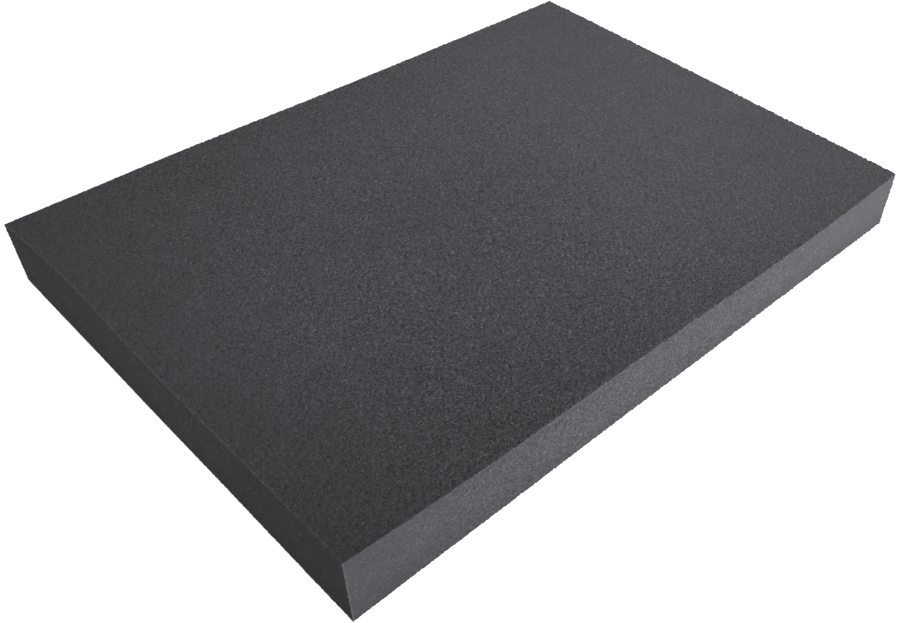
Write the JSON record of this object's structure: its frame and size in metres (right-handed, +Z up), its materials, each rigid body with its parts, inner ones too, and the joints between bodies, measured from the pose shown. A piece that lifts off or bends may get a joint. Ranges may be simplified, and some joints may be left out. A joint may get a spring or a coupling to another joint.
{
  "type": "foam slab",
  "caption": "Plain rectangular slab of dark grey open-cell foam with sharp cut edges, a soft shock-absorbing insert or blank that lies flat against the back.",
  "frame": {"origin": "middle of the underside, the large face that the slab lies on", "axes": "+X along the length, +Y along the width, +Z up through the thickness"},
  "size_m": [0.42, 0.297, 0.04],
  "materials": {
    "foam": "matt open-cell polyurethane foam, cut surface"
  },
  "bodies": {
    "root": {"foam_slab": "foam"}
  },
  "joints": []
}
